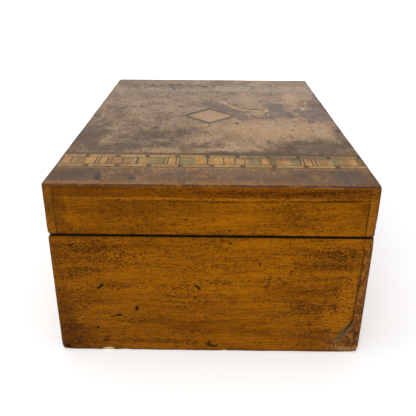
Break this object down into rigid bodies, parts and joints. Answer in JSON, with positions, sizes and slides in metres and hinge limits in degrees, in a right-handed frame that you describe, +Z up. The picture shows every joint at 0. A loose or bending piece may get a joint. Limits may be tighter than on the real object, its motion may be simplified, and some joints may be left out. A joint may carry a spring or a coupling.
{
  "type": "wooden puzzle box",
  "caption": "Veneered wooden puzzle box with an inlaid hinged lid, a lock hidden behind a sliding slip in the front, and a secret drawer that holds the key.",
  "frame": {"origin": "centre of the box's underside", "axes": "+X along the length, towards the end with the secret drawer; -Y out of the front, where the lock is; +Y out of the back, where the hinges are; +Z up"},
  "size_m": [0.302, 0.203, 0.123],
  "materials": {
    "pine_board": "bare",
    "walnut_veneer": "worn satin varnish",
    "burr_walnut": "faded, matt",
    "faded_burr": "faded, matt",
    "boxwood": "faded, matt",
    "satinwood": "faded, matt",
    "ebony": "faded, matt",
    "green_holly": "faded, matt",
    "walnut_inlay": "faded, matt",
    "pearwood": "faded, matt",
    "drawer_oak": "bare",
    "lining_paper": "matt",
    "brass": "tarnished",
    "brass_screw": "tarnished",
    "steel": "dull",
    "iron": "rusted"
  },
  "bodies": {
    "base": {"bottom_board": "pine_board", "base_front_board": "pine_board", "base_back_board": "pine_board", "base_left_board": "pine_board", "base_right_board": "pine_board", "false_floor": "pine_board", "base_front_veneer": "walnut_veneer", "base_back_veneer": "walnut_veneer", "base_left_veneer": "walnut_veneer", "base_right_veneer": "walnut_veneer", "base_wall_lining": "lining_paper", "floor_lining": "lining_paper", "bottom_brads": "iron", "lock_case": "brass", "lock_cap": "brass", "lock_top_plate": "brass", "lock_spring": "steel", "lock_screws": "brass_screw", "keyhole_escutcheon": "brass", "slip_stop_pin": "brass", "left_hinge_base_leaf": "brass", "right_hinge_base_leaf": "brass", "left_hinge_pin": "steel", "right_hinge_pin": "steel", "base_hinge_screws": "brass_screw"},
    "lid": {"lid_front_board": "pine_board", "lid_back_board": "pine_board", "lid_left_board": "pine_board", "lid_right_board": "pine_board", "lid_top_board": "pine_board", "lid_front_veneer": "walnut_veneer", "lid_back_veneer": "walnut_veneer", "lid_left_veneer": "walnut_veneer", "lid_right_veneer": "walnut_veneer", "top_field_veneer": "burr_walnut", "top_end_veneers": "burr_walnut", "band_boxwood": "boxwood", "band_satinwood": "satinwood", "band_ebony": "ebony", "band_green_holly": "green_holly", "band_walnut": "walnut_inlay", "band_pearwood": "pearwood", "diamond_border": "ebony", "diamond_panel": "faded_burr", "lid_wall_lining": "lining_paper", "lid_top_lining": "lining_paper", "link_plate": "brass", "link_plate_screws": "brass_screw", "left_hinge_lid_leaf": "brass", "right_hinge_lid_leaf": "brass", "lid_hinge_screws": "brass_screw"},
    "lock_bolt": {"lock_bolt": "brass"},
    "front_slip": {"front_slip": "walnut_veneer"},
    "drawer": {"drawer_front": "pine_board", "drawer_front_veneer": "walnut_veneer", "drawer_sides": "drawer_oak", "drawer_back": "drawer_oak", "drawer_bottom": "drawer_oak", "key_tray": "drawer_oak"},
    "key": {"key": "steel"}
  },
  "joints": [
    {"name": "lid_hinges", "type": "hinge", "parent": "base", "child": "lid", "pos_m": [0, 0.0996, 0.089], "axis": [-1, 0, 0], "range_deg": [0, 100]},
    {"name": "slip_slide", "type": "slide", "parent": "base", "child": "front_slip", "axis": [1, 0, 0], "range_m": [0, 0.048]},
    {"name": "drawer_slide", "type": "slide", "parent": "base", "child": "drawer", "axis": [1, 0, 0], "range_m": [0, 0.18]},
    {"name": "key_lift", "type": "slide", "parent": "drawer", "child": "key", "axis": [0, 0, 1], "range_m": [0, 0.006]},
    {"name": "bolt_slide", "type": "slide", "parent": "base", "child": "lock_bolt", "axis": [1, 0, 0], "range_m": [0, 0.0046]}
  ]
}
